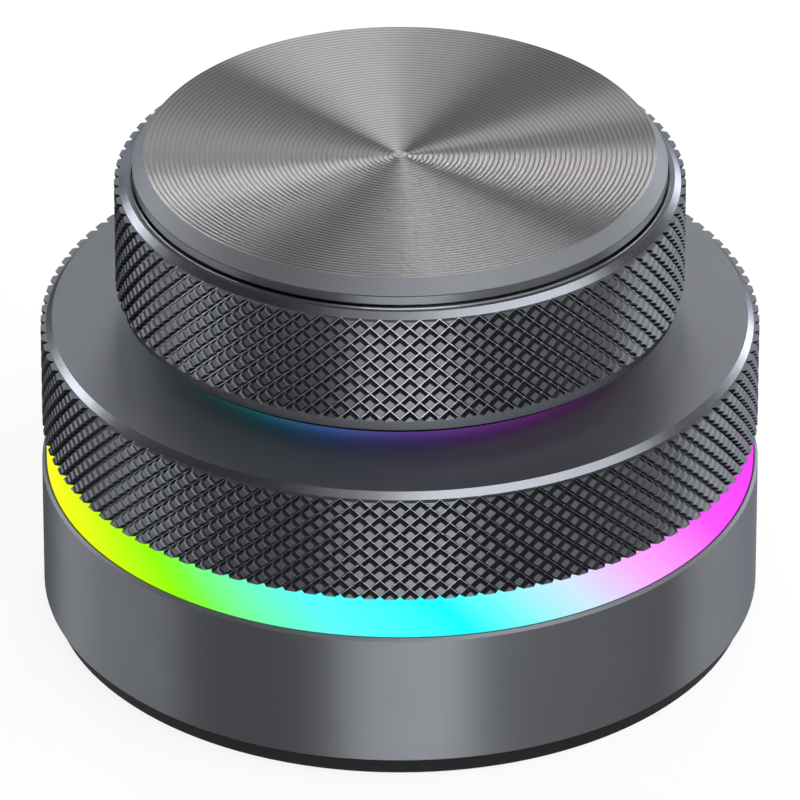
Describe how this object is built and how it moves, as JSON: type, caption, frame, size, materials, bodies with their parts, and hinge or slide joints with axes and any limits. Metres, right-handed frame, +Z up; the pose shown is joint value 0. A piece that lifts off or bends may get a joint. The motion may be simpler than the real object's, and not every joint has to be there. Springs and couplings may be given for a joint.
{
  "type": "usb volume control knob",
  "caption": "Round desk volume control: a turning and pressing knurled knob over a turning knurled ring, a glowing gap, a rainbow light band and a rear USB-C port.",
  "frame": {"origin": "centre of the rubber foot's underside, on the desk", "axes": "+Z up along the knob's axis, -Y towards the user, +Y through the USB-C port"},
  "size_m": [0.06, 0.06, 0.0424],
  "materials": {
    "anodised": "dark grey anodised, fine turned satin",
    "bare_aluminium": "machined",
    "steel": "zinc-plated",
    "bearing_steel": "polished",
    "rubber": "matte",
    "board": "solder mask",
    "chip": "moulded",
    "led": "clear cap on white",
    "diffuser": "milky, lit from below",
    "black_plastic": "moulded",
    "white_plastic": "moulded",
    "contact": "gold-plated",
    "grey_plastic": "moulded"
  },
  "bodies": {
    "base": {"rubber_foot": "rubber", "bottom_plate": "steel", "base_shell": "anodised", "plate_screws": "steel", "main_board": "board", "board_screws": "steel", "usb_shell": "steel", "usb_tongue": "black_plastic", "control_chips": "chip", "base_leds": "led", "light_ring": "diffuser", "ring_encoder_housing": "black_plastic", "ring_encoder_cover": "steel", "centre_column": "bare_aluminium", "column_screws": "steel", "bearing_inner_race": "bearing_steel", "bearing_balls": "bearing_steel", "bearing_clip": "steel", "board_carrier": "black_plastic", "knob_board": "board", "knob_board_screws": "steel", "halo_leds": "led", "halo_diffuser": "diffuser", "lower_connector": "white_plastic", "link_cable": "grey_plastic", "upper_connector": "white_plastic", "encoder_body": "grey_plastic", "encoder_bushing": "steel", "encoder_pins": "contact", "snap_dome": "steel"},
    "ring": {"lower_ring": "anodised", "ring_hub": "white_plastic", "hub_screws": "steel", "bearing_outer_race": "bearing_steel", "ring_encoder_rotor": "white_plastic"},
    "rotor": {"encoder_rotor": "white_plastic"},
    "knob": {"encoder_shaft": "bare_aluminium", "knob_hub": "black_plastic", "knob_screws": "steel", "upper_ring": "anodised", "top_disc": "anodised"}
  },
  "joints": [
    {"name": "ring_turn", "type": "hinge", "parent": "base", "child": "ring", "pos_m": [0, 0, 0.02113], "axis": [0, 0, 1], "continuous": true},
    {"name": "knob_turn", "type": "hinge", "parent": "base", "child": "rotor", "pos_m": [0, 0, 0.0323], "axis": [0, 0, 1], "continuous": true},
    {"name": "knob_press", "type": "slide", "parent": "rotor", "child": "knob", "axis": [0, 0, -1], "range_m": [0, 0.0005], "stiffness_N_per_m": 4000, "springref_m": -0.0008, "deforming": ["snap_dome"]}
  ]
}
